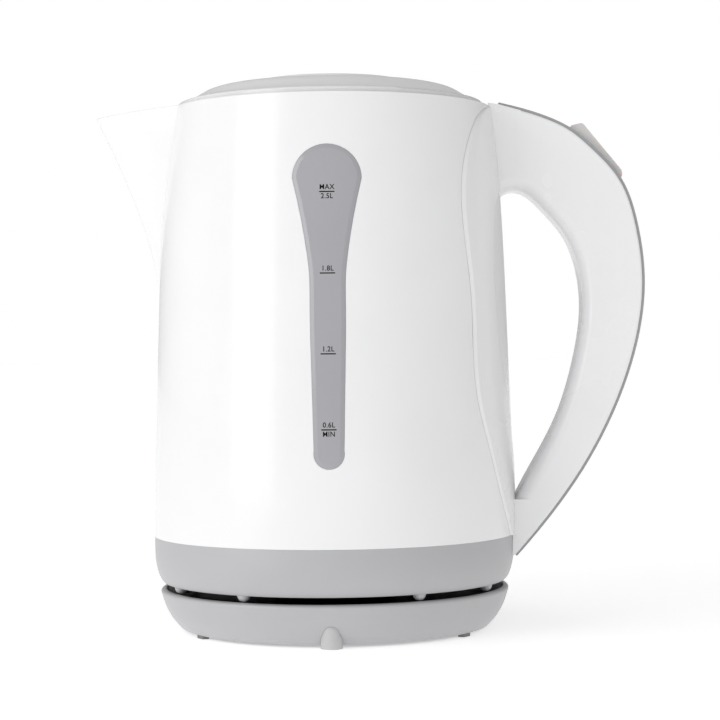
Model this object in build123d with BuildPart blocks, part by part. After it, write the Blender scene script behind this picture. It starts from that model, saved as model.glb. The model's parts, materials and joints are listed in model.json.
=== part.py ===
from build123d import *
import math
import os

# Electric kettle of 2.5 litres on a round power base, in millimetres.
# Origin: the kettle's vertical axis, on the table. +Z up, the handle is at +X,
# the spout at -X and the level window at -Y.

# ---------------------------------------------------------------- driving sizes
WALL = 2.6                      # jug wall
FIT = 0.05                      # gap between pieces of one body that nest
SKIN_GAP = 0.01                 # gap under the thin saddle
RUN = 0.3                       # least gap between pieces that move past each other

# Outside of the white jug as (radius, height), from the skirt to the rim.
JUG_OUTER = [(81.6, 42.7), (81.6, 55), (80.3, 100), (78.7, 147), (76.5, 196), (73.0, 236.2)]
JUG_TOP = 237.0
FLANGE_Z = 50.0                 # underside of the flange that the heater plate seals on
FLANGE_R = 66.0
CHAMBER_Z = 52.5
LEDGE_Z = (231.0, 233.0)        # ledge that the lid's seal sits on
LEDGE_R = 67.0
MOUTH_R = 69.6

# Outside of the grey skirt as (radius, height).
SKIRT_OUTER = [(77.8, 22.3), (79.2, 24.2), (80.3, 27.0), (81.2, 31.0), (81.6, 37.0), (81.6, 42.7)]
SKIRT_FLANGE_R = 70.0
NUB_ANGLES = [-150, -116, -64, -30, 30, 64, 116, 150]   # from the front, about the axis
NUB_R = 74.6
NUB_RADIUS = 2.9
NUB_LOW = 19.3

# Outside of the power base as (radius, height).
BASE_OUTER = [(69.8, 1.5), (72.9, 4.7), (75.2, 8.0), (77.0, 11.6), (78.3, 15.3), (79.0, 17.6)]
BASE_TOP = 19.2
BASE_LOW = 1.5
BASE_FLANGE_R = 66.0
COVER_LOW = BASE_LOW + 0.2      # bottom cover of the base
COVER_TOP = COVER_LOW + 2.0
DECK_TOP = 18.9                 # ledge under the jug's nubs
DECK_R = 75.9
HUB_TOP = DECK_TOP - 0.4        # raised middle of the deck, under the turning ring
BASE_SCREW_R = 52.0
FOOT_ANGLES = [-122.5, -57.5, 57.5, 122.5]
FOOT_R = 67.9
FRONT_FOOT_R = 69.6             # where the front foot's axis meets the table
FRONT_FOOT_HALF = 4.7
FRONT_FOOT_LENGTH = 12.0
FRONT_FOOT_LEAN = 27            # degrees, outwards with the wall
CORD_Z = 9.0                    # height of the cord's way out

# Connector: a round post on the base, a round socket in the jug.
POST_R = 14.0
POST_TOP = 34.0
POST_FLOOR = 22.0
SOCKET_R = 14.6

# Spout sections as (height, nose x, half width where it meets the jug).
SPOUT = [
    (146, -76.5, 8.0), (158, -79.8, 17.0), (170, -82.2, 24.5), (185, -86.6, 29.2),
    (205, -94.3, 32.2), (222, -101.9, 33.4), (240, -110.2, 34.2),
]
SPOUT_ROOT_X = -58.0
SPOUT_LIP = [(-106.7, 232.6), (-65.0, 235.8)]

# Level window, half widths as (half width, height) from the bottom up.
WINDOW = [(6.35, 84.0), (6.8, 105.0), (7.5, 147.0), (7.6, 157.0), (8.75, 168.0),
          (10.95, 181.5), (14.6, 198.4)]
WINDOW_PROUD = 0.5
WINDOW_BEVEL = (1.7, 0.4)       # width of the bevelled edge, and its fall
WINDOW_LOW = 76.2
WINDOW_HIGH = 212.7

# Handle outlines in the XZ plane, from the upper root to the lower root.
GRIP_OUTER = [(76.1, 237.0), (86.6, 234.3), (98.4, 230.3), (108.5, 225.2), (118.4, 216.9),
              (131.1, 202.2), (138.2, 182.0), (141.1, 154.5), (137.2, 127.1),
              (127.8, 99.8), (113.4, 72.5), (93.5, 45.3), (82.4, 32.6)]
GRIP_INNER = [(76.4, 191.6), (78.3, 196.2), (82.4, 197.5), (95.8, 189.2), (106.6, 175.4), (111.5, 161.7),
              (113.2, 147.9), (109.7, 120.5), (100.8, 93.2), (88.5, 70.5), (81.9, 58.2)]
GRIP_HALF = 13.4
CHANNEL_HALF = 9.9
TRIM_HALF = 12.2
TRIM_PROUD = 1.2
TRIM_DEPTH = 2.2
GRIP_WALL = 3.2
# Edge of the saddle that the handle spreads into, as (half width in Y, height).
SADDLE = [(13.0, 236.8), (24.0, 233.4), (33.6, 227.0), (39.5, 218.0), (45.4, 196.0), (45.9, 147.0),
          (45.9, 100.0), (42.9, 84.0), (38.2, 66.0), (33.1, 54.0), (25.5, 42.0)]
SADDLE_THICK = 0.95
# Leaf-shaped dip in the saddle, between the roots of the handle.
LEAF = [(13.4, 200.0), (23.0, 195.4), (28.2, 189.0), (30.6, 182.0), (33.0, 169.0), (33.8, 152.0),
        (31.8, 126.0), (26.2, 103.0), (18.5, 84.0), (9.0, 66.0), (0.0, 56.5)]
LEAF_THICK = 0.4
EDGE_SLOPE = 0.45               # sideways run of the saddle's soft edges, per unit of depth
# The handle flares where it meets the jug: the heights where the flare is nothing and
# full, and its (x, extra half width) in plan when full.
ROOTS = [((205.5, 242.0), [(66.0, 7.4), (73.4, 3.4), (78.5, 1.1), (86.0, 0.0)]),
         ((50.0, 31.0), [(72.0, 5.0), (81.0, 1.9), (85.5, 0.6), (92.0, 0.0)])]

# Rocker switch: its own plane has x down the handle and y out of the handle.
PIVOT = (117.5, 211.5)
ROCKER = [(-16.4, -1.4), (-16.4, 3.4), (-16.7, 4.9), (-14.6, 8.3), (-13.5, 9.1),
          (13.6, 6.3), (15.3, 5.0), (16.0, 3.4), (16.0, -1.4)]
ROCKER_HALF = 8.2
PIN_R = 1.25

# Lid and its hinge.
LID_R = 69.3
HINGE = (71.8, 235.0)
HINGE_PIN_R = 1.0
TONGUE_HALF = 9.5
EAR_HALF = 13.5

STEAM_Z = 217.0
LEAD_Z = 42.0


# ---------------------------------------------------------------- helpers
def shifted(points, distance):
    """Points of a wall outline with the radius changed by a distance."""
    return [(radius + distance, height) for radius, height in points]


def beside(points, distance):
    """Points moved square to their own outline, to the right of its direction."""
    moved = []
    for index, (px, pz) in enumerate(points):
        ax, az = points[max(index - 1, 0)]
        bx, bz = points[min(index + 1, len(points) - 1)]
        length = math.hypot(bx - ax, bz - az)
        moved.append((px + (bz - az) / length * distance, pz - (bx - ax) / length * distance))
    return moved


def around(radius, angle):
    """A point on a circle about the axis, with the angle counted from the front."""
    turn = math.radians(angle)
    return (radius * math.sin(turn), -radius * math.cos(turn))


def save(name, label):
    name.part.label = label
    export_step(name.part, f"parts/{label}.step")


os.makedirs("parts", exist_ok=True)

# Upright half plane towards the spout: seams of round surfaces stay away from the handle.
spout_side = Plane(origin=(0, 0, 0), x_dir=(-1, 0, 0), z_dir=(0, 1, 0))
switch_plane = Plane(origin=(PIVOT[0], 0, PIVOT[1]), x_dir=(1, 0, -1), z_dir=(0, -1, 0))


# ---------------------------------------------------------------- shapes used by several pieces
def wall_solid(inner_shift, outer_shift):
    """The jug's wall, thickened or thinned, as a full ring."""
    low = JUG_OUTER[0][1]
    high = JUG_OUTER[-1][1]
    with BuildPart(mode=Mode.PRIVATE) as ring:
        with BuildSketch(spout_side):
            with BuildLine():
                outer = Spline(*shifted(JUG_OUTER, outer_shift))
                inner = Spline(*shifted(JUG_OUTER, inner_shift))
                Line(outer @ 0, inner @ 0)
                Line(outer @ 1, inner @ 1)
            make_face()
        revolve(axis=Axis.Z)
    return ring.part


def outer_envelope(gap):
    """Everything inside the outer skin of the jug and skirt, grown by a gap."""
    with BuildPart(mode=Mode.PRIVATE) as envelope:
        with BuildSketch(spout_side):
            with BuildLine():
                jug = Spline(*shifted(JUG_OUTER, gap))
                skirt = Spline(*shifted(SKIRT_OUTER, gap))
                Polyline(jug @ 1, (JUG_OUTER[-1][0] + gap, 245), (0, 245), (0, 20),
                         (SKIRT_OUTER[0][0] + gap, 20), skirt @ 0)
            make_face()
        revolve(axis=Axis.Z)
    return envelope.part


def spout_solid(inset, low_section):
    """The spout as a loft of level sections, drawn in by an inset."""
    with BuildPart(mode=Mode.PRIVATE) as spout:
        for height, nose, half in SPOUT[low_section:]:
            tip = nose + inset * 1.2
            side = half - inset
            reach = SPOUT_ROOT_X - tip
            with BuildSketch(Plane.XY.offset(height)):
                with BuildLine():
                    edge = Spline(
                        (SPOUT_ROOT_X, -side - 2.5), (tip + 0.52 * reach, -0.66 * side),
                        (tip + 0.1 * reach, -0.22 * side), (tip, 0),
                        (tip + 0.1 * reach, 0.22 * side), (tip + 0.52 * reach, 0.66 * side),
                        (SPOUT_ROOT_X, side + 2.5),
                    )
                    Line(edge @ 1, edge @ 0)
                make_face()
        loft()
    return spout.part


def window_prism(gap):
    """The spoon shape of the level window, extruded through the front wall."""
    right = [(half - gap, height) for half, height in WINDOW]
    left = [(-half + gap, height) for half, height in reversed(WINDOW)]
    low = (0, WINDOW_LOW + gap)
    high = (0, WINDOW_HIGH - gap)
    with BuildPart(mode=Mode.PRIVATE) as prism:
        with BuildSketch(Plane.XZ):
            with BuildLine():
                side = Spline(*right)
                ThreePointArc(right[-1], high, left[0])
                mirror(side, about=Plane.YZ)
                ThreePointArc(left[-1], low, right[0])
            make_face()
        extrude(amount=95)
    return prism.part


def bullet_post(grow):
    """The bullet-shaped front foot, leaning out with the base's wall, grown by a gap."""
    foot_half = FRONT_FOOT_HALF + grow
    low = -0.6 * FRONT_FOOT_HALF
    with BuildPart(mode=Mode.PRIVATE) as bullet:
        with BuildSketch(Plane.XZ):
            with BuildLine():
                nose = Spline((foot_half, 0.3 * FRONT_FOOT_LENGTH),
                              (0.78 * foot_half, 0.7 * FRONT_FOOT_LENGTH),
                              (0, FRONT_FOOT_LENGTH + grow), tangents=[(0, 1), (-1, 0)])
                Polyline(nose @ 1, (0, low), (foot_half, low), nose @ 0)
            make_face()
        revolve(axis=Axis.Z)
    leaning = bullet.part.moved(Location((0, -FRONT_FOOT_R, 0), (FRONT_FOOT_LEAN, 0, 0)))
    above_table = Box(200, 200, 30, align=(Align.CENTER, Align.CENTER, Align.MIN), mode=Mode.PRIVATE)
    behind = Cylinder(BASE_FLANGE_R + 1.6 - grow, 60, mode=Mode.PRIVATE)
    return (leaning & above_table) - behind


def root_flare(heights, flare):
    """A block as wide as the grip that spreads towards the jug as its height nears the second one."""
    with BuildPart(mode=Mode.PRIVATE) as block:
        for height, share in zip(heights, (0.02, 1.0)):
            side_points = [(x, GRIP_HALF - 0.02 + share * extra) for x, extra in flare]
            with BuildSketch(Plane.XY.offset(height)):
                with BuildLine():
                    side = Spline(*side_points)
                    mirror(side, about=Plane.XZ)
                    Line(side_points[0], (side_points[0][0], -side_points[0][1]))
                    Line(side_points[-1], (side_points[-1][0], -side_points[-1][1]))
                make_face()
        loft()
    return block.part


def leaf_prism(points, tip):
    """A shape about the XZ plane that narrows towards +X, for the saddle's soft edges."""
    near_x = 56
    far_x = 86
    middle_x = 69
    with BuildPart(mode=Mode.PRIVATE) as prism:
        for station in (near_x, far_x):
            edge_points = beside(points, (station - middle_x) * EDGE_SLOPE)
            with BuildSketch(Plane.YZ.offset(station)):
                with BuildLine():
                    right = edge_points[:-1] if tip else edge_points
                    edge = Spline(*right)
                    mirror(edge, about=Plane.YZ)
                    Line(right[0], (-right[0][0], right[0][1]))
                    ThreePointArc(right[-1], (0, tip or points[-1][1] - 8), (-right[-1][0], right[-1][1]))
                make_face()
        loft()
    return prism.part


# ---------------------------------------------------------------- power base
with BuildPart() as base_shell:
    with BuildSketch(Plane.XZ):
        with BuildLine():
            outer = Spline(*BASE_OUTER)
            rim = Spline(outer @ 1, (78.6, BASE_TOP - 0.4), (77.5, BASE_TOP), (76.3, BASE_TOP - 0.5),
                         tangents=[outer % 1, (-0.3, -1)])
            Polyline(rim @ 1, (76.1, 16.9), (75.1, 16.9), (73.2, 9.0), (70.6, 5.4), (68.4, 4.2),
                     (BASE_FLANGE_R, 4.2), (BASE_FLANGE_R, BASE_LOW), outer @ 0)
        make_face()
    revolve(axis=Axis.Z)
    # notch that the front foot stands in
    add(bullet_post(FIT), mode=Mode.SUBTRACT)
    # way out for the cord, at the back
    with BuildSketch(Plane.XZ.offset(-85)):
        with Locations((0, CORD_Z)):
            Circle(5.0)
    extrude(amount=17, mode=Mode.SUBTRACT)
save(base_shell, "base_shell")

with BuildPart() as base_deck:
    with BuildSketch(Plane.XZ):
        with BuildLine():
            Polyline((DECK_R, DECK_TOP), (70.6, DECK_TOP), (65.4, 15.6), (30.0, 15.6),
                     (27.0, HUB_TOP), (14.8, HUB_TOP), (14.8, 16.6), (25.8, 16.6), (28.8, 13.6),
                     (66.4, 13.6), (71.6, 16.9), (DECK_R, 16.9), (DECK_R, DECK_TOP))
        make_face()
    revolve(axis=Axis.Z)
    with BuildSketch(Plane.XY.offset(COVER_TOP)):
        with PolarLocations(BASE_SCREW_R, 4, 45):
            Circle(4.0)
    extrude(until=Until.NEXT)
    with BuildSketch(Plane.XY.offset(COVER_TOP)):
        with PolarLocations(BASE_SCREW_R, 4, 45):
            Circle(1.5)
    extrude(amount=8.8, mode=Mode.SUBTRACT)
save(base_deck, "base_deck")

with BuildPart() as base_bottom_cover:
    with BuildSketch(Plane.XY.offset(COVER_LOW)):
        Circle(BASE_FLANGE_R - FIT)
    extrude(amount=COVER_TOP - COVER_LOW)
    with Locations(Plane.XY.offset(COVER_LOW)):
        with PolarLocations(BASE_SCREW_R, 4, 45):
            Cylinder(3.2, 1.0, align=(Align.CENTER, Align.CENTER, Align.MIN), mode=Mode.SUBTRACT)
            Cylinder(1.6, 2.0, align=(Align.CENTER, Align.CENTER, Align.MIN), mode=Mode.SUBTRACT)
save(base_bottom_cover, "base_bottom_cover")

with BuildPart() as base_screws:
    with BuildSketch(Plane.XY.offset(COVER_LOW + FIT)):
        with PolarLocations(BASE_SCREW_R, 4, 45):
            Circle(3.0)
    extrude(amount=1.0 - FIT)
    with BuildSketch(Plane.XY.offset(COVER_LOW + 1.0)):
        with PolarLocations(BASE_SCREW_R, 4, 45):
            Circle(1.45)
    extrude(amount=8.5)
    with BuildSketch(Plane.XY.offset(COVER_LOW + FIT)):
        with PolarLocations(BASE_SCREW_R, 4, 45):
            Rectangle(4.4, 0.7)
            Rectangle(0.7, 4.4)
    extrude(amount=0.6, mode=Mode.SUBTRACT)
save(base_screws, "base_screws")

with BuildPart() as base_feet:
    for angle in FOOT_ANGLES:
        foot = Plane(origin=(*around(FOOT_R, angle), 0), x_dir=(*around(1, angle + 90), 0))
        with BuildSketch(foot):
            RectangleRounded(5.8, 3.4, 0.7)
        extrude(amount=BASE_LOW)
save(base_feet, "base_feet")

with BuildPart() as front_foot:
    add(bullet_post(0))
save(front_foot, "front_foot")

with BuildPart() as connector_post:
    with BuildSketch(Plane.XZ):
        with BuildLine():
            Polyline((0, 12.0), (20.0, 12.0), (20.0, 16.5), (POST_R, 16.5), (POST_R, POST_TOP - 1),
                     (POST_R - 1, POST_TOP), (11.4, POST_TOP), (11.4, POST_FLOOR),
                     (8.6, POST_FLOOR), (8.6, POST_TOP), (5.4, POST_TOP), (5.4, POST_FLOOR),
                     (0, POST_FLOOR), (0, 12.0))
        make_face()
    revolve(axis=Axis.Z)
    Cylinder(2.0, 40, align=(Align.CENTER, Align.CENTER, Align.MIN), mode=Mode.SUBTRACT)
save(connector_post, "connector_post")

with BuildPart() as earth_pin:
    with BuildSketch(Plane.XZ):
        with BuildLine():
            Line((0, 10.0), (2.0, 10.0))
            Line((2.0, 10.0), (2.0, 30.5))
            RadiusArc((2.0, 30.5), (0, 32.5), -2.0)
            Line((0, 32.5), (0, 10.0))
        make_face()
    revolve(axis=Axis.Z)
save(earth_pin, "earth_pin")

for label, inner_r, outer_r in (("live_contact_ring", 8.6, 9.0), ("neutral_contact_ring", 11.0, 11.4)):
    with BuildPart() as contact_ring:
        with BuildSketch(Plane.XY.offset(POST_FLOOR + 0.5)):
            Circle(outer_r)
            Circle(inner_r, mode=Mode.SUBTRACT)
        extrude(amount=7)
    save(contact_ring, label)

with BuildPart() as terminal_block:
    with Locations((0, 50, COVER_TOP + FIT)):
        Box(24, 13, 8, align=(Align.CENTER, Align.CENTER, Align.MIN))
    with BuildSketch(Plane.XY.offset(COVER_TOP + FIT + 8)):
        with Locations((0, 50)):
            with GridLocations(7.4, 1, 3, 1):
                Circle(2.2)
    extrude(amount=-3, mode=Mode.SUBTRACT)
save(terminal_block, "terminal_block")

with BuildPart() as base_leads:
    for side in (-1, 0, 1):
        start = (side * 7.4, 43.4, 8.4)
        bend = (side * 7.4, 30.0, 8.4)
        end = (side * 5.0, 12.0, 10.6)
        with BuildLine() as route:
            FilletPolyline(start, bend, end, radius=9)
        with BuildSketch(Plane(origin=start, z_dir=(0, -1, 0))):
            Circle(1.2)
        sweep(path=route.wires()[0])
save(base_leads, "base_leads")

with BuildPart() as cord_gland:
    with BuildSketch(Plane.XZ.offset(-79.4)):
        with Locations((0, CORD_Z)):
            Circle(6.2)
    extrude(amount=-1.4)
    with BuildSketch(Plane.XZ.offset(-79.4)):
        with Locations((0, CORD_Z)):
            Circle(4.95)
    extrude(amount=9.4)
    with BuildSketch(Plane.XZ.offset(-81.0)):
        with Locations((0, CORD_Z)):
            Circle(3.6)
    extrude(amount=14, mode=Mode.SUBTRACT)
save(cord_gland, "cord_gland")

# ---------------------------------------------------------------- ring that turns round the post
with BuildPart() as shutter_ring:
    with BuildSketch(Plane.XY.offset(HUB_TOP + RUN)):
        Circle(18.4)
        Circle(POST_R + RUN, mode=Mode.SUBTRACT)
    extrude(amount=2.8)
    chamfer(shutter_ring.edges().group_by(Axis.Z)[-1], 0.6)
    with BuildSketch(Plane.XY.offset(HUB_TOP + RUN + 2.8)):
        with PolarLocations(16.6, 3, 90):
            Rectangle(1.8, 3.6)
    extrude(amount=-1.0, mode=Mode.SUBTRACT)
save(shutter_ring, "shutter_ring")

# ---------------------------------------------------------------- jug
with BuildPart() as body_shell:
    with BuildSketch(Plane.XZ):
        with BuildLine():
            outer = Spline(*JUG_OUTER)
            rim = ThreePointArc(outer @ 1, (72.75, JUG_TOP - 0.25), (72.2, JUG_TOP))
            Polyline(rim @ 1, (0, JUG_TOP), (0, JUG_OUTER[0][1]), outer @ 0)
        make_face()
    revolve(axis=Axis.Z)
    spout = spout_solid(0, 0)
    with BuildSketch(Plane.XZ) as above_lip:
        with BuildLine():
            Polyline((-130, 230.8), SPOUT_LIP[0], SPOUT_LIP[1], (-50, 236.9), (-50, 260),
                     (-130, 260), (-130, 230.8))
        make_face()
    lip_cut = extrude(above_lip.sketch, amount=60, both=True, mode=Mode.PRIVATE)
    add(spout - lip_cut)
    # the chamber, from the heater's seat up to the mouth
    with BuildSketch(Plane.XZ):
        with BuildLine():
            wall = Spline(*shifted(JUG_OUTER[1:-1], -WALL), (73.5 - WALL, LEDGE_Z[0]))
            Polyline(wall @ 0, (JUG_OUTER[0][0] - WALL, CHAMBER_Z), (FLANGE_R, CHAMBER_Z),
                     (FLANGE_R, FLANGE_Z), (JUG_OUTER[0][0] - WALL, FLANGE_Z),
                     (JUG_OUTER[0][0] - WALL, JUG_OUTER[0][1]), (0, JUG_OUTER[0][1]),
                     (0, 240), (MOUTH_R + 0.6, 240), (MOUTH_R + 0.6, JUG_TOP),
                     (MOUTH_R, JUG_TOP - 0.8), (MOUTH_R, LEDGE_Z[1]), (LEDGE_R, LEDGE_Z[1]),
                     (LEDGE_R, LEDGE_Z[0]), wall @ 1)
        make_face()
    revolve(axis=Axis.Z, mode=Mode.SUBTRACT)
    # the spout's channel passes under the rim and is open in front of it
    with BuildSketch(Plane.XY.offset(LEDGE_Z[0])) as rim_disc:
        Circle(72.8)
    rim_keep = extrude(rim_disc.sketch, amount=20, mode=Mode.PRIVATE)
    add(spout_solid(2.8, 1) - rim_keep, mode=Mode.SUBTRACT)
    # window, steam hole and the hole for the leads
    add(window_prism(0), mode=Mode.SUBTRACT)
    with BuildSketch(Plane.YZ.offset(60)):
        with Locations((0, STEAM_Z)):
            Circle(3.1)
        with Locations((0, LEAD_Z)):
            Circle(2.3)
    extrude(amount=30, mode=Mode.SUBTRACT)
    # hinge pocket with an ear on each side
    with Locations((71.4, 0, 232.7)):
        Box(7.0, 2 * EAR_HALF, 10, align=(Align.CENTER, Align.CENTER, Align.MIN),
            mode=Mode.SUBTRACT)
    with BuildSketch(Plane.XZ) as ear_outline:
        with BuildLine():
            Polyline((67.95, 232.0), (74.0, 232.0), (74.0, 235.6), (73.2, 236.8), (70.2, 236.8),
                     (67.95, 235.4), (67.95, 232.0))
        make_face()
    for side in (-1, 1):
        ear = extrude(ear_outline.sketch, amount=EAR_HALF - TONGUE_HALF - RUN, mode=Mode.PRIVATE)
        start = -TONGUE_HALF - RUN if side < 0 else EAR_HALF
        add(ear.moved(Location((0, start, 0))))
    with BuildSketch(Plane.XZ) as pin_hole:
        with Locations(HINGE):
            Circle(HINGE_PIN_R)
    extrude(amount=EAR_HALF, both=True, mode=Mode.SUBTRACT)
save(body_shell, "body_shell")

with BuildPart() as level_window:
    add(wall_solid(-WALL, WINDOW_PROUD))
    add(window_prism(FIT), mode=Mode.INTERSECT)
    wide_faces = level_window.faces().filter_by(lambda face: face.area > 400)
    front = wide_faces.sort_by(lambda face: face.center().Y)[0]
    chamfer(front.edges(), *WINDOW_BEVEL, reference=front)
save(level_window, "level_window")

with BuildPart() as bottom_skirt:
    with BuildSketch(Plane.XZ):
        with BuildLine():
            outer = Spline(*SKIRT_OUTER)
            Polyline(outer @ 1, (79.0, 42.7), (79.0, 37.0), (78.6, 31.0), (77.6, 27.4), (76.2, 24.6),
                     (SKIRT_FLANGE_R, 24.6), (SKIRT_FLANGE_R, 22.3), outer @ 0)
        make_face()
    revolve(axis=Axis.Z)
    with Locations(*[(*around(NUB_R, angle), NUB_LOW + NUB_RADIUS) for angle in NUB_ANGLES]):
        Sphere(NUB_RADIUS)
    with BuildSketch(Plane.YZ.offset(70)):
        with Locations((0, LEAD_Z)):
            Circle(2.3)
    extrude(amount=20, mode=Mode.SUBTRACT)
save(bottom_skirt, "bottom_skirt")

with BuildPart() as underside_cover:
    with BuildSketch(Plane.XY.offset(22.6)):
        Circle(SKIRT_FLANGE_R - FIT)
        Circle(26.0, mode=Mode.SUBTRACT)
        with PolarLocations(60, 3, 30):
            Circle(1.7, mode=Mode.SUBTRACT)
    extrude(amount=2.0)
    with BuildSketch(Plane.XY.offset(24.6)):
        Circle(28.0)
        Circle(26.0, mode=Mode.SUBTRACT)
        with PolarLocations(60, 3, 30):
            Circle(4.0)
            Circle(1.7, mode=Mode.SUBTRACT)
    extrude(amount=2.4)
save(underside_cover, "underside_cover")

with BuildPart() as underside_screws:
    with BuildSketch(Plane.XY.offset(21.0)):
        with PolarLocations(60, 3, 30):
            Circle(3.0)
    extrude(amount=1.6)
    with BuildSketch(Plane.XY.offset(22.6)):
        with PolarLocations(60, 3, 30):
            Circle(1.6)
    extrude(amount=9)
    with BuildSketch(Plane.XY.offset(21.0)):
        with PolarLocations(60, 3, 30):
            Rectangle(4.4, 0.7)
            Rectangle(0.7, 4.4)
    extrude(amount=0.8, mode=Mode.SUBTRACT)
save(underside_screws, "underside_screws")

with BuildPart() as heater_plate:
    with BuildSketch(Plane.XY.offset(47.0)):
        Circle(77.5)
    extrude(amount=1.2)
    with BuildSketch(Plane.XY.offset(48.2)):
        Circle(64.0)
    extrude(amount=1.6)
    fillet(heater_plate.edges().group_by(Axis.Z)[-1], 1.2)
save(heater_plate, "heater_plate")

with BuildPart() as plate_gasket:
    with BuildSketch(Plane.XY.offset(48.2)):
        Circle(77.4)
        Circle(FLANGE_R + 0.4, mode=Mode.SUBTRACT)
    extrude(amount=FLANGE_Z - 48.2)
save(plate_gasket, "plate_gasket")

with BuildPart() as heat_spreader:
    with BuildSketch(Plane.XY.offset(44.8)):
        Circle(57.0)
    extrude(amount=2.2)
save(heat_spreader, "heat_spreader")

with BuildPart() as heater_element:
    with BuildLine() as coil:
        arc = CenterArc((0, 0, 41.4), 48, 25, 310)
    with BuildSketch(Plane(origin=arc @ 0, z_dir=arc % 0)):
        Circle(3.3)
    sweep(path=coil.wires()[0])
    for spot, way in ((arc @ 0, -(arc % 0)), (arc @ 1, arc % 1)):
        with BuildSketch(Plane(origin=spot, z_dir=way)):
            Circle(1.3)
        extrude(amount=7)
save(heater_element, "heater_element")

with BuildPart() as control_module:
    with BuildSketch(Plane.XY.offset(22.8)):
        Circle(24.0)
        Circle(SOCKET_R, mode=Mode.SUBTRACT)
    extrude(amount=14)
    with BuildSketch(Plane.XY.offset(36.8)):
        Circle(24.0)
    extrude(amount=6.0)
    fillet(control_module.edges().group_by(Axis.Z)[-1], 1.5)
    with BuildSketch(Plane.XY.offset(36.8)):
        with PolarLocations(31, 3, 60):
            Circle(4.0)
        with PolarLocations(26, 3, 60):
            Rectangle(10, 8.0)
    extrude(amount=6.0)
    with BuildSketch(Plane.XY.offset(36.0)):
        with PolarLocations(31, 3, 60):
            Circle(1.7)
    extrude(amount=8.0, mode=Mode.SUBTRACT)
save(control_module, "control_module")

with BuildPart() as socket_contacts:
    with BuildSketch(Plane.XY.offset(26.0)):
        Circle(10.5)
        Circle(9.5, mode=Mode.SUBTRACT)
    extrude(amount=10.8)
    with BuildSketch(Plane.XY.offset(26.0)):
        Circle(4.3)
        Circle(3.1, mode=Mode.SUBTRACT)
    extrude(amount=10.8)
save(socket_contacts, "socket_contacts")

with BuildPart() as thermostat_discs:
    with BuildSketch(Plane.XY.offset(43.4)):
        with Locations((-10, 11), (-10, -11)):
            Circle(9.0)
    extrude(amount=0.6)
    with BuildSketch(Plane.XY.offset(42.8)):
        with Locations((-10, 11), (-10, -11)):
            Circle(3.0)
    extrude(amount=0.6)
save(thermostat_discs, "thermostat_discs")

with BuildPart() as filter_frame:
    with BuildSketch(Plane.YZ.offset(-63.0)):
        with Locations((0, 203)):
            RectangleRounded(50, 54, 6)
            RectangleRounded(42, 46, 4, mode=Mode.SUBTRACT)
            Rectangle(2.4, 48)
            Rectangle(44, 2.4)
    extrude(amount=2.4)
    with BuildSketch(Plane.XY.offset(228.0)):
        with Locations((-61.8, 12), (-61.8, -12)):
            Rectangle(2.4, 6)
    extrude(amount=2.95)
save(filter_frame, "filter_frame")

with BuildPart() as filter_mesh:
    with BuildSketch(Plane.YZ.offset(-63.8)):
        with Locations((0, 203)):
            RectangleRounded(48, 52, 5)
    extrude(amount=0.75)
save(filter_mesh, "filter_mesh")

# ---------------------------------------------------------------- handle
grip_white = beside(GRIP_OUTER, TRIM_PROUD)
reversed_grip = list(reversed(GRIP_INNER))
with BuildPart() as handle_shell:
    with BuildSketch(Plane.XZ) as grip_outline:
        with BuildLine():
            outer = Spline(*grip_white)
            inner = Spline(*reversed_grip)
            Polyline(outer @ 1, (70, 31), (70, 58.2), inner @ 0)
            Polyline(inner @ 1, (66, 190), (66, 236.6), outer @ 0)
        make_face()
    extrude(amount=GRIP_HALF, both=True)
    long_edges = handle_shell.edges().filter_by(lambda edge: edge.length > 120)
    side_edges = long_edges.filter_by(lambda edge: abs((edge @ 0.5).Y) > GRIP_HALF - 1)
    fillet(side_edges.filter_by(lambda edge: (edge @ 0.5).X < 120), 6.5)
    long_edges = handle_shell.edges().filter_by(lambda edge: edge.length > 120)
    side_edges = long_edges.filter_by(lambda edge: abs((edge @ 0.5).Y) > GRIP_HALF - 0.1)
    fillet(side_edges.filter_by(lambda edge: (edge @ 0.5).X > 130), 1.0)
    # the handle flares out to each side where it meets the jug
    wide_grip = extrude(grip_outline.sketch, amount=30, both=True, mode=Mode.PRIVATE)
    for heights, flare in ROOTS:
        add(root_flare(heights, flare) & wide_grip)
    add(outer_envelope(FIT), mode=Mode.SUBTRACT)
    # the saddle, a thin skin over the back of the jug, with the dip between the roots
    saddle = wall_solid(SKIN_GAP, SADDLE_THICK) & leaf_prism(SADDLE, 0)
    add(saddle - (wall_solid(LEAF_THICK, 3) & leaf_prism(LEAF, LEAF[-1][1])))
    # channel for the leads, steam tube and switch, open to the outside
    channel_inner = [(83.4, 39.6), *beside(reversed_grip[1:-3], GRIP_WALL), (79.5, 203.0)]
    channel_outer = beside(GRIP_OUTER[1:-1], -2.0)
    with BuildSketch(Plane.XZ):
        with BuildLine():
            inner = Spline(*channel_inner)
            outer = Spline(*channel_outer)
            Line(inner @ 0, outer @ 1)
            Polyline(inner @ 1, (79.5, 236.0), outer @ 0)
        make_face()
    extrude(amount=CHANNEL_HALF, both=True, mode=Mode.SUBTRACT)
    # passages into the jug, and the hinge pocket
    with BuildSketch(Plane.YZ.offset(60)):
        with Locations((0, STEAM_Z)):
            Circle(4.1)
        with Locations((0, LEAD_Z)):
            Circle(2.6)
    extrude(amount=30, mode=Mode.SUBTRACT)
    with Locations((70.0, 0, 232.0 - FIT)):
        Box(9.2, 2 * EAR_HALF + 0.2, 12, align=(Align.CENTER, Align.CENTER, Align.MIN),
            mode=Mode.SUBTRACT)
save(handle_shell, "handle_shell")

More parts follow.
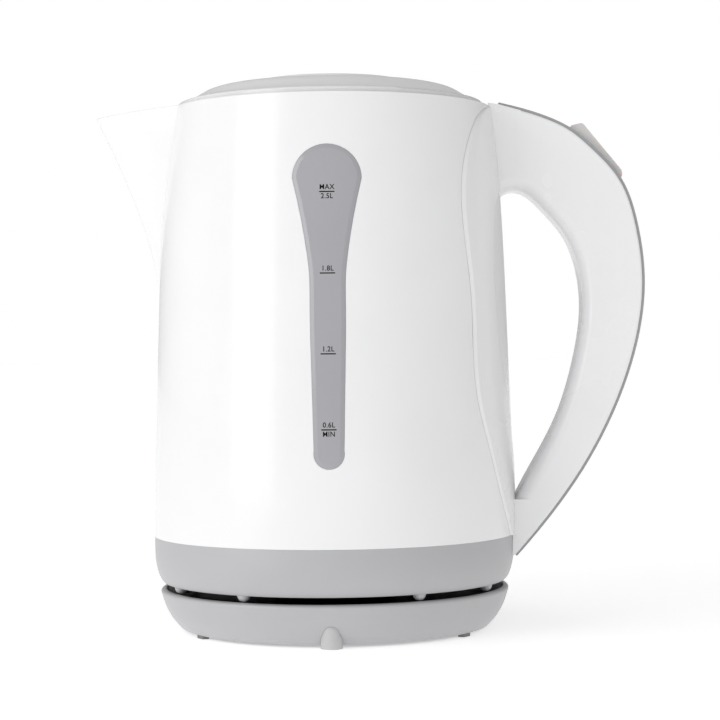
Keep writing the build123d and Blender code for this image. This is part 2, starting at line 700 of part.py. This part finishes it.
with BuildPart() as handle_trim:
    for half, near, far, ends in ((TRIM_HALF, 0, TRIM_PROUD, slice(None)),
                                  (CHANNEL_HALF - 0.2, TRIM_PROUD, TRIM_DEPTH, slice(2, -2))):
        with BuildSketch(Plane.XZ):
            with BuildLine():
                outer = Spline(*beside(GRIP_OUTER, near)[ends])
                inner = Spline(*beside(GRIP_OUTER, far)[ends])
                Line(outer @ 0, inner @ 0)
                Line(outer @ 1, inner @ 1)
            make_face()
        extrude(amount=half, both=True)
    with BuildSketch(switch_plane):
        with Locations((-0.5, 3.0)):
            Rectangle(35.4, 12.0)
    extrude(amount=ROCKER_HALF + 0.4, both=True, mode=Mode.SUBTRACT)
    add(outer_envelope(SADDLE_THICK + FIT), mode=Mode.SUBTRACT)
save(handle_trim, "handle_trim")

# ---------------------------------------------------------------- switch and its parts
with BuildPart() as switch_housing:
    with BuildSketch(switch_plane):
        with Locations((0, -9.5)):
            Rectangle(26.0, 9.0)
    extrude(amount=CHANNEL_HALF - 0.4, both=True)
    for side in (-1, 1):
        with BuildSketch(switch_plane.offset(side * (CHANNEL_HALF - 0.85))):
            with BuildLine():
                Polyline((3.2, -5.2), (3.2, 0))
                ThreePointArc((3.2, 0), (0, 1.9), (-3.2, 0))
                Polyline((-3.2, 0), (-3.2, -5.2), (3.2, -5.2))
            make_face()
        extrude(amount=0.45, both=True)
    with BuildSketch(switch_plane):
        Circle(PIN_R)
    extrude(amount=CHANNEL_HALF, both=True, mode=Mode.SUBTRACT)
save(switch_housing, "switch_housing")

with BuildPart() as rocker_pin:
    with BuildSketch(switch_plane):
        Circle(PIN_R)
    extrude(amount=CHANNEL_HALF - 0.4, both=True)
save(rocker_pin, "rocker_pin")

with BuildPart() as switch_rocker:
    with BuildSketch(switch_plane):
        with BuildLine():
            Polyline(*ROCKER, ROCKER[0])
        make_face()
        Circle(3.0)
    extrude(amount=ROCKER_HALF, both=True)
    with BuildSketch(switch_plane):
        Circle(PIN_R + FIT)
    extrude(amount=ROCKER_HALF, both=True, mode=Mode.SUBTRACT)
save(switch_rocker, "switch_rocker")

with BuildPart() as steam_bimetal:
    with BuildSketch(Plane(origin=switch_plane.from_local_coords((-14.4, -11.0, 0)), z_dir=(-1, 0, 1))):
        Circle(5.4)
    extrude(amount=0.6)
save(steam_bimetal, "steam_bimetal")

with BuildPart() as steam_tube:
    with BuildSketch(Plane.YZ.offset(76.4)):
        with Locations((0, STEAM_Z)):
            Circle(4.0)
            Circle(3.0, mode=Mode.SUBTRACT)
    extrude(amount=19)
save(steam_tube, "steam_tube")

LEADS = [(24.2, 0, LEAD_Z - 2), (55, 0, LEAD_Z), (84.2, 0, LEAD_Z), (92.5, 0, 56.0),
         (107.5, 0, 79.0), (119.5, 0, 104.0), (126.0, 0, 130.0), (127.0, 0, 156.0),
         (122.0, 0, 180.0), (113.4, 0, 193.2)]
with BuildPart() as wire_harness:
    with BuildLine() as route:
        FilletPolyline(*LEADS, radius=6)
    with BuildSketch(Plane(origin=LEADS[0], z_dir=route.edges().sort_by(Axis.X)[0] % 0)):
        Circle(1.3)
    sweep(path=route.wires()[0])
save(wire_harness, "wire_harness")

with BuildPart() as lid_hinge_pin:
    with BuildSketch(Plane.XZ):
        with Locations(HINGE):
            Circle(HINGE_PIN_R)
    extrude(amount=EAR_HALF, both=True)
save(lid_hinge_pin, "lid_hinge_pin")

# ---------------------------------------------------------------- lid
with BuildPart() as lid_shell:
    with BuildSketch(Plane.XZ):
        with BuildLine():
            edge = ThreePointArc((LID_R, 236.9), (LID_R - 0.25, 237.6), (LID_R - 0.9, 237.9))
            dome = Spline(edge @ 1, (65.2, 238.8), (61.5, 240.7), (57.5, 243.1), (52.0, 244.7),
                          (44.0, 245.4), (36.2, 245.8), tangents=[(-1, 0.15), (-1, 0.02)])
            Polyline(dome @ 1, (36.2, 243.6), (0, 243.6), (0, 241.4), (50.5, 241.4),
                     (57.0, 237.6), (61.5, 236.0), (66.6, 235.6), (66.6, 234.4), (LID_R, 234.4), edge @ 0)
        make_face()
    revolve(axis=Axis.Z)
    # hinge tongue
    with BuildSketch(Plane.XZ) as tongue_outline:
        with BuildLine():
            Polyline((66.8, 234.4), (71.0, 233.4), (73.5, 234.2), (73.6, 235.8), (72.6, 236.8),
                     (69.0, 237.6), (66.8, 237.6), (66.8, 234.4))
        make_face()
    add(extrude(tongue_outline.sketch, amount=TONGUE_HALF, both=True, mode=Mode.PRIVATE))
    with BuildSketch(Plane.XZ):
        with Locations(HINGE):
            Circle(HINGE_PIN_R + FIT)
    extrude(amount=TONGUE_HALF, both=True, mode=Mode.SUBTRACT)
save(lid_shell, "lid_shell")

with BuildPart() as lid_disc:
    with BuildSketch(Plane.XY.offset(243.6)):
        Circle(36.0)
    extrude(amount=4.2)
    fillet(lid_disc.edges().group_by(Axis.Z)[-1], 1.4)
save(lid_disc, "lid_disc")

with BuildPart() as lid_liner:
    with BuildSketch(Plane.XZ):
        with BuildLine():
            Polyline((0, 233.5), (66.4, 233.5), (66.4, 235.4), (64.0, 235.4), (63.4, 234.9),
                     (0, 234.9), (0, 233.5))
        make_face()
    revolve(axis=Axis.Z)
save(lid_liner, "lid_liner")

with BuildPart() as lid_seal:
    with BuildSketch(Plane.XY.offset(LEDGE_Z[1] + RUN)):
        Circle(LID_R - 0.2)
        Circle(66.6, mode=Mode.SUBTRACT)
    extrude(amount=234.4 - LEDGE_Z[1] - RUN)
save(lid_seal, "lid_seal")
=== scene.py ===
import json
import math

import bmesh
import bpy
from mathutils import Matrix, Vector
from mathutils.bvhtree import BVHTree


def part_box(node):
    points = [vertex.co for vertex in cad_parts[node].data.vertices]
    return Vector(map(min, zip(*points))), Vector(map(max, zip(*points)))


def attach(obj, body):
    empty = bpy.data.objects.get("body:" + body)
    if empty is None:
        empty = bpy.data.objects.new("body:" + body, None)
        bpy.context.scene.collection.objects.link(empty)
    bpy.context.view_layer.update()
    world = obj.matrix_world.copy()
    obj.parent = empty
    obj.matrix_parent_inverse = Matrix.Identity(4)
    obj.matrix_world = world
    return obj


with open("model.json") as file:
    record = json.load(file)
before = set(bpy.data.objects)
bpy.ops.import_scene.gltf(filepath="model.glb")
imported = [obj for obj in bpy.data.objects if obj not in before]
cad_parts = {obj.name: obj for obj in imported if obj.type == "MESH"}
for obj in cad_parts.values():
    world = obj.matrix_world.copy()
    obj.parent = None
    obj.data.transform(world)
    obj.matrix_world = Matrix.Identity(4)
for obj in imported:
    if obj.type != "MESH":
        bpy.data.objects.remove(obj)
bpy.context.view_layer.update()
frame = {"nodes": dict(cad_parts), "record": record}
nodes = frame["nodes"]
MM = 0.001

# ---------------------------------------------------------------- camera
CAMERA_DISTANCE = 0.923
CAMERA_HEIGHT = 0.1246
CAMERA_SIDE_STEP = 0.0124
CAMERA_AZIMUTH = math.radians(0.6)
CAMERA_PITCH = math.radians(-0.19)
CAMERA_ROLL = math.radians(0.56)
LENS_MM = 101.0
SENSOR_MM = 36.0


def make_camera():
    """A long lens, level with the middle of the jug and rolled a little."""
    data = bpy.data.cameras.new("camera")
    data.lens = LENS_MM
    data.sensor_width = SENSOR_MM
    camera = bpy.data.objects.new("camera", data)
    bpy.context.scene.collection.objects.link(camera)
    right = Vector((math.cos(CAMERA_AZIMUTH), math.sin(CAMERA_AZIMUTH), 0))
    level_back = Vector((math.sin(CAMERA_AZIMUTH), -math.cos(CAMERA_AZIMUTH), 0))
    back = Matrix.Rotation(CAMERA_PITCH, 3, right) @ level_back
    up = back.cross(right)
    rolled_up = up * math.cos(CAMERA_ROLL) + right * math.sin(CAMERA_ROLL)
    rolled_right = right * math.cos(CAMERA_ROLL) - up * math.sin(CAMERA_ROLL)
    turn = Matrix((rolled_right, rolled_up, back)).transposed().to_4x4()
    sideways = right * CAMERA_SIDE_STEP
    place = level_back * CAMERA_DISTANCE + sideways + Vector((0, 0, CAMERA_HEIGHT))
    camera.matrix_world = Matrix.Translation(place) @ turn
    bpy.context.scene.camera = camera


make_camera()


# ---------------------------------------------------------------- materials
# the middle stretch of a noise, which holds nearly all of its values
NOISE_LOW = 0.3
NOISE_HIGH = 0.7
DRIFT_SCALE = 22.0
BEVEL_SAMPLES = 6
GRAIN_STRENGTH = 0.25
BRUSH_STRENGTH = 0.3
BRUSH_DEPTH = 0.00003


def new_material(name, colour, roughness, **sockets):
    """A Principled material; sockets holds more of the shader's own values."""
    material = bpy.data.materials.new(name)
    material.use_nodes = True
    shader = material.node_tree.nodes["Principled BSDF"]
    shader.inputs["Base Color"].default_value = (*colour, 1)
    shader.inputs["Roughness"].default_value = roughness
    for socket, value in sockets.items():
        shader.inputs[socket.replace("_", " ")].default_value = value
    return material, material.node_tree, shader


def object_coordinates(tree, stretch=(1, 1, 1)):
    """The object's own coordinates, in metres, stretched along each axis."""
    place = tree.nodes.new("ShaderNodeTexCoord")
    mapping = tree.nodes.new("ShaderNodeMapping")
    mapping.inputs["Scale"].default_value = stretch
    tree.links.new(place.outputs["Object"], mapping.inputs["Vector"])
    return mapping.outputs["Vector"]


def add_noise(tree, scale, detail=4.0, stretch=(1, 1, 1)):
    noise = tree.nodes.new("ShaderNodeTexNoise")
    noise.inputs["Scale"].default_value = scale
    noise.inputs["Detail"].default_value = detail
    tree.links.new(object_coordinates(tree, stretch), noise.inputs["Vector"])
    return noise.outputs["Fac"]


def add_bump(tree, shader, height, strength, distance, edge_radius=0.0):
    """Bump from a height, on top of edges that look broken to a small radius."""
    bump = tree.nodes.new("ShaderNodeBump")
    bump.inputs["Strength"].default_value = strength
    bump.inputs["Distance"].default_value = distance
    tree.links.new(height, bump.inputs["Height"])
    tree.links.new(bump.outputs["Normal"], shader.inputs["Normal"])
    if edge_radius:
        bevel = tree.nodes.new("ShaderNodeBevel")
        bevel.samples = BEVEL_SAMPLES
        bevel.inputs["Radius"].default_value = edge_radius
        tree.links.new(bevel.outputs["Normal"], bump.inputs["Normal"])


def vary(tree, source, target, low, high):
    """Feeds a shader socket with a source spread between two values."""
    spread = tree.nodes.new("ShaderNodeMapRange")
    spread.inputs["From Min"].default_value = NOISE_LOW
    spread.inputs["From Max"].default_value = NOISE_HIGH
    spread.inputs["To Min"].default_value = low
    spread.inputs["To Max"].default_value = high
    tree.links.new(source, spread.inputs["Value"])
    tree.links.new(spread.outputs["Result"], target)


def vary_colour(tree, source, shader, dark, light):
    ramp = tree.nodes.new("ShaderNodeValToRGB")
    ramp.color_ramp.elements[0].position = NOISE_LOW
    ramp.color_ramp.elements[1].position = NOISE_HIGH
    ramp.color_ramp.elements[0].color = (*dark, 1)
    ramp.color_ramp.elements[1].color = (*light, 1)
    tree.links.new(source, ramp.inputs["Fac"])
    tree.links.new(ramp.outputs["Color"], shader.inputs["Base Color"])


def moulded(name, dark, light, rough, grain, depth, edge_radius=0.0, **sockets):
    """Moulded plastic: fine grain in the bump, slow drift in the colour and the gloss."""
    material, tree, shader = new_material(name, light, rough[0], **sockets)
    drift = add_noise(tree, DRIFT_SCALE, 3.0)
    vary_colour(tree, drift, shader, dark, light)
    vary(tree, drift, shader.inputs["Roughness"], *rough)
    add_bump(tree, shader, add_noise(tree, grain, 6.0), GRAIN_STRENGTH, depth, edge_radius)
    return material


def metal(name, dark, light, rough, stretch):
    """Bare metal with brush marks drawn out along one direction."""
    material, tree, shader = new_material(name, light, rough[0], Metallic=1.0)
    marks = add_noise(tree, 900.0, 5.0, stretch)
    vary_colour(tree, marks, shader, dark, light)
    vary(tree, marks, shader.inputs["Roughness"], *rough)
    add_bump(tree, shader, marks, BRUSH_STRENGTH, BRUSH_DEPTH)
    return material


def grey(value, tint=1.0):
    return (value, value, value * tint)


materials = {
    "white_plastic": moulded("white_gloss", grey(0.80, 1.01), grey(0.82, 1.01), (0.20, 0.27), 2600,
                             0.00001, 0.0005, Coat_Weight=0.2, Coat_Roughness=0.06),
    "grey_plastic": moulded("grey_satin", grey(0.39, 1.03), grey(0.41, 1.03), (0.42, 0.50), 2200,
                            0.00003, 0.0004, Specular_IOR_Level=1.0, Coat_Weight=0.3, Coat_Roughness=0.35),
    "dark_plastic": moulded("dark_satin", grey(0.003), grey(0.006), (0.38, 0.5), 1800, 0.00004,
                            Specular_IOR_Level=0.2),
    "rocker_plastic": moulded("rocker_satin", grey(0.60, 0.98), grey(0.64, 0.98), (0.28, 0.4), 2000,
                              0.00003, 0.0006, Subsurface_Weight=0.3, Subsurface_Scale=0.002),
    "foot_rubber": moulded("foot_rubber", grey(0.46, 1.01), grey(0.50, 1.01), (0.5, 0.65), 1500,
                           0.00005, 0.0003),
    "silicone": moulded("silicone", grey(0.60, 0.96), grey(0.66, 0.96), (0.45, 0.6), 900, 0.00004),
    "control_plastic": moulded("control_plastic", (0.6, 0.56, 0.47), (0.66, 0.62, 0.52), (0.4, 0.5),
                               1400, 0.00004),
    "lead_cover": moulded("lead_cover", (0.24, 0.012, 0.01), (0.3, 0.016, 0.012), (0.3, 0.4), 900,
                          0.00003),
    "mesh": moulded("mesh_weave", grey(0.55), grey(0.62), (0.35, 0.5), 1200, 0.00004),
    "steel": metal("brushed_steel", grey(0.42), grey(0.52), (0.22, 0.4), (1, 12, 12)),
    "aluminium": metal("cast_aluminium", grey(0.58), grey(0.66), (0.35, 0.5), (1, 1, 1)),
    "brass": metal("brass", (0.55, 0.38, 0.12), (0.68, 0.5, 0.2), (0.15, 0.3), (4, 4, 1)),
    "clear_grey_plastic": moulded("window_grey", grey(0.335, 1.06), grey(0.35, 1.06), (0.1, 0.16),
                                  2600, 0.00001, 0.0003, Coat_Weight=0.3, Coat_Roughness=0.03),
}

# pieces that look different from the rest of their slot; the side feet and the handle trim carry painted
# shade
special = {
    # painted shade: the side feet are a dark grey, darker than the base, standing in for their shadowed
    # sides
    "base_feet": moulded("side_foot_painted_shade", grey(0.16), grey(0.20), (0.55, 0.7), 1500, 0.00005, 0.0003),
    "handle_shell": moulded("handle_gloss", grey(0.79, 1.01), grey(0.81, 1.01), (0.22, 0.30), 2600,
                            0.00001, 0.0003, Coat_Weight=0.2, Coat_Roughness=0.08),
    # painted shade: the trim is a darker grey than the other grey parts, for the shadowed edge it shows
    "handle_trim": moulded("trim_satin_painted_shade", grey(0.31, 1.02), grey(0.34, 1.02), (0.38, 0.46), 2200,
                           0.00003, 0.0004),
}

slot_of = {row["node"]: row["material_slot"] for row in frame["record"]["subparts"]}
for name, node in nodes.items():
    node.data.materials.clear()
    node.data.materials.append(special.get(name, materials[slot_of[name]]))


# ---------------------------------------------------------------- new pieces
def piece_from(mesh_builder, name, body, material):
    """Turns a bmesh into an object that rides on a body."""
    mesh = bpy.data.meshes.new(name)
    mesh_builder.to_mesh(mesh)
    mesh_builder.free()
    piece = bpy.data.objects.new(name, mesh)
    bpy.context.scene.collection.objects.link(piece)
    mesh.materials.append(material)
    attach(piece, body)
    return piece


# ---- printed scale on the level window
INK_PROUD = 0.04 * MM
IN_FRONT_Y = -200 * MM
TEXT_SIZE = 3.05 * MM
TEXT_NARROW = 0.92
LINE_HALF = 3.2 * MM
LINE_HEIGHT = 0.5 * MM
LINE_STEPS = 8
STROKE_GROWTH = 0.035 * MM
LETTER_SPACING = 1.08
WORDS_OFFSET = 0.63 * TEXT_SIZE
# height of each line, and the words above and below it
SCALE = [(192.5, "MAX", "2.5L"), (158.3, "1.8L", ""), (124.5, "1.2L", ""), (92.8, "0.6L", "MIN")]


def text_outline(words, centre_z):
    """Flat narrow letters in the XZ plane as a bmesh."""
    curve = bpy.data.curves.new("words", "FONT")
    curve.body = words
    curve.size = TEXT_SIZE
    curve.align_x = "CENTER"
    curve.align_y = "CENTER"
    curve.offset = STROKE_GROWTH
    curve.space_character = LETTER_SPACING
    holder = bpy.data.objects.new("words", curve)
    flat = bpy.data.meshes.new_from_object(holder)
    letters = bmesh.new()
    letters.from_mesh(flat)
    bmesh.ops.scale(letters, vec=(TEXT_NARROW, 1, 1), verts=letters.verts)
    upright = Matrix.Rotation(math.radians(90), 4, "X")
    bmesh.ops.transform(letters, matrix=upright, verts=letters.verts)
    bmesh.ops.translate(letters, vec=(0, 0, centre_z), verts=letters.verts)
    bpy.data.objects.remove(holder)
    bpy.data.curves.remove(curve)
    bpy.data.meshes.remove(flat)
    return letters


def add_line(marks, height):
    """A short level line as a strip of quads."""
    below = []
    above = []
    for step in range(LINE_STEPS + 1):
        x = LINE_HALF * (2 * step / LINE_STEPS - 1)
        below.append(marks.verts.new((x, 0, height - LINE_HEIGHT / 2)))
        above.append(marks.verts.new((x, 0, height + LINE_HEIGHT / 2)))
    for step in range(LINE_STEPS):
        marks.faces.new((below[step], below[step + 1], above[step + 1], above[step]))


def add_words(marks, words, centre_z):
    """Adds one word of the scale to the marks."""
    letters = text_outline(words, centre_z)
    spare = bpy.data.meshes.new("spare")
    letters.to_mesh(spare)
    letters.free()
    marks.from_mesh(spare)
    bpy.data.meshes.remove(spare)


def make_scale():
    """Ink a few hundredths of a millimetre thick, wrapped on the window's face."""
    window = BVHTree.FromObject(nodes["level_window"], bpy.context.evaluated_depsgraph_get())
    marks = bmesh.new()
    for height, above, below in SCALE:
        add_line(marks, height * MM)
        add_words(marks, above, height * MM + WORDS_OFFSET)
        add_words(marks, below, height * MM - WORDS_OFFSET)
    bmesh.ops.triangulate(marks, faces=marks.faces)
    for vert in marks.verts:
        in_front = Vector((vert.co.x, IN_FRONT_Y, vert.co.z))
        hit, normal, index, distance = window.ray_cast(in_front, Vector((0, 1, 0)))
        vert.co.y = hit.y - INK_PROUD
    front_faces = list(marks.faces)
    thick = bmesh.ops.extrude_face_region(marks, geom=front_faces)
    moved = [item for item in thick["geom"] if isinstance(item, bmesh.types.BMVert)]
    bmesh.ops.translate(marks, vec=(0, 1.5 * INK_PROUD, 0), verts=moved)
    bmesh.ops.recalc_face_normals(marks, faces=marks.faces)
    ink, tree, shader = new_material("scale_ink", grey(0.003), 0.6, Specular_IOR_Level=0.1)
    vary_colour(tree, add_noise(tree, 1800.0, 3.0), shader, grey(0.002), grey(0.005))
    piece_from(marks, "level_scale", "jug", ink)


make_scale()


# ---- finger ribs across the upper end of the rocker
RIB_COUNT = 5
RIB_PITCH = 1.5 * MM
RIB_RADIUS = 0.42 * MM
RIB_SIDES = 8
RIB_MARGIN = 2.2 * MM
RIB_START = 3.0 * MM
RIB_STEPS = 6
RIB_END_ANGLE = 80
RIB_END_SIZE = 0.08
ROCKER_HALF_LENGTH = 13.0 * MM
ABOVE_ROCKER = 30 * MM


def make_rocker_ribs():
    """Half-round bars with rounded ends, laid on the rocker's flat top."""
    rocker = BVHTree.FromObject(nodes["switch_rocker"], bpy.context.evaluated_depsgraph_get())
    low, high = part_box("switch_rocker")
    half = (high[1] - low[1]) / 2 - RIB_MARGIN
    down_handle = Vector((1, 0, -1)).normalized()
    outwards = Vector((1, 0, 1)).normalized()
    middle = Vector(((low[0] + high[0]) / 2, 0, (low[2] + high[2]) / 2))
    upper_end = middle - down_handle * ROCKER_HALF_LENGTH
    ribs = bmesh.new()
    for count in range(RIB_COUNT):
        above = upper_end + down_handle * (RIB_START + count * RIB_PITCH) + outwards * ABOVE_ROCKER
        hit, normal, index, distance = rocker.ray_cast(above, -outwards)
        along = normal.cross(Vector((0, 1, 0))).normalized()
        rings = []
        for step in range(-RIB_STEPS, RIB_STEPS + 1):
            share = step / RIB_STEPS
            y = half * math.sin(math.radians(90 * share))
            taper = math.cos(math.radians(RIB_END_ANGLE * share ** 4))
            size = RIB_RADIUS * max(RIB_END_SIZE, taper)
            ring = []
            for side in range(RIB_SIDES):
                turn = 2 * math.pi * side / RIB_SIDES
                offset = along * math.cos(turn) * size + normal * math.sin(turn) * size
                ring.append(ribs.verts.new(hit + Vector((0, y, 0)) + offset))
            rings.append(ring)
        for first, second in zip(rings, rings[1:]):
            for side in range(RIB_SIDES):
                after = (side + 1) % RIB_SIDES
                ribs.faces.new((first[side], first[after], second[after], second[side]))
        ribs.faces.new(list(reversed(rings[0])))
        ribs.faces.new(rings[-1])
    bmesh.ops.recalc_face_normals(ribs, faces=ribs.faces)
    piece = piece_from(ribs, "rocker_ribs", "rocker", materials["rocker_plastic"])
    for face in piece.data.polygons:
        face.use_smooth = True


make_rocker_ribs()


# ---------------------------------------------------------------- light and floor
FLOOR_SIZE = 60
FLOOR_GLOW = 0.45
JUG_MIDDLE = (0, 0, 0.12)


def make_stage():
    """A wide white floor that glows a little, so that it meets the backdrop without a line."""
    bpy.ops.mesh.primitive_plane_add(size=FLOOR_SIZE, location=(0, 0, 0))
    floor = bpy.context.object
    floor.name = "floor"
    material, tree, shader = new_material("floor_paper", grey(0.93), 0.8, Emission_Strength=FLOOR_GLOW)
    shader.inputs["Emission Color"].default_value = (1, 1, 1, 1)
    vary_colour(tree, add_noise(tree, 60.0, 3.0), shader, grey(0.92), grey(0.94))
    floor.data.materials.append(material)


def area_light(name, place, aim, size, power):
    """A rectangular lamp at a place, turned to face its aim."""
    data = bpy.data.lights.new(name, "AREA")
    data.shape = "RECTANGLE"
    data.size, data.size_y = size
    data.energy = power
    lamp = bpy.data.objects.new(name, data)
    bpy.context.scene.collection.objects.link(lamp)
    lamp.location = place
    lamp.rotation_euler = (Vector(place) - Vector(aim)).to_track_quat("Z", "Y").to_euler()


def add_fall(tree, source, values, turn):
    """A smooth fall between two values as the source turns from one bound to the other."""
    spread = tree.nodes.new("ShaderNodeMapRange")
    spread.interpolation_type = "SMOOTHSTEP"
    spread.inputs["From Min"].default_value, spread.inputs["From Max"].default_value = turn
    spread.inputs["To Min"].default_value, spread.inputs["To Max"].default_value = values
    tree.links.new(source, spread.inputs["Value"])
    return spread.outputs["Result"]


def make_room(falls):
    """Soft light from all round; each fall dims it towards one side of the room."""
    world = bpy.data.worlds.new("studio")
    bpy.context.scene.world = world
    world.use_nodes = True
    tree = world.node_tree
    light = tree.nodes["Background"]
    place = tree.nodes.new("ShaderNodeTexCoord")
    split = tree.nodes.new("ShaderNodeSeparateXYZ")
    tree.links.new(place.outputs["Generated"], split.inputs["Vector"])
    strength = None
    for axis, values, turn in falls:
        fall = add_fall(tree, split.outputs[axis], values, turn)
        if strength:
            both = tree.nodes.new("ShaderNodeMath")
            both.operation = "MULTIPLY"
            tree.links.new(strength, both.inputs[0])
            tree.links.new(fall, both.inputs[1])
            fall = both.outputs["Value"]
        strength = fall
    tree.links.new(strength, light.inputs["Strength"])
    backdrop = tree.nodes.new("ShaderNodeBackground")
    rays = tree.nodes.new("ShaderNodeLightPath")
    choose = tree.nodes.new("ShaderNodeMixShader")
    tree.links.new(rays.outputs["Is Camera Ray"], choose.inputs["Fac"])
    tree.links.new(light.outputs["Background"], choose.inputs[1])
    tree.links.new(backdrop.outputs["Background"], choose.inputs[2])
    tree.links.new(choose.outputs["Shader"], tree.nodes["World Output"].inputs["Surface"])
    for background in (light, backdrop):
        background.inputs["Color"].default_value = (1, 1, 1, 1)
    backdrop.inputs["Strength"].default_value = 1.0


make_stage()
# dimmer from the handle's side, from the ceiling and from behind
make_room([("X", (0.98, 0.5), (0.05, 1.0)),
           ("Z", (1.06, 0.4), (0.45, 1.0)),
           ("Y", (1.04, 0.5), (0.1, 0.9))])
area_light("key_left", (-1.3, -1.1, 0.4), JUG_MIDDLE, (0.9, 1.4), 7)

bpy.context.scene.view_settings.view_transform = "Standard"
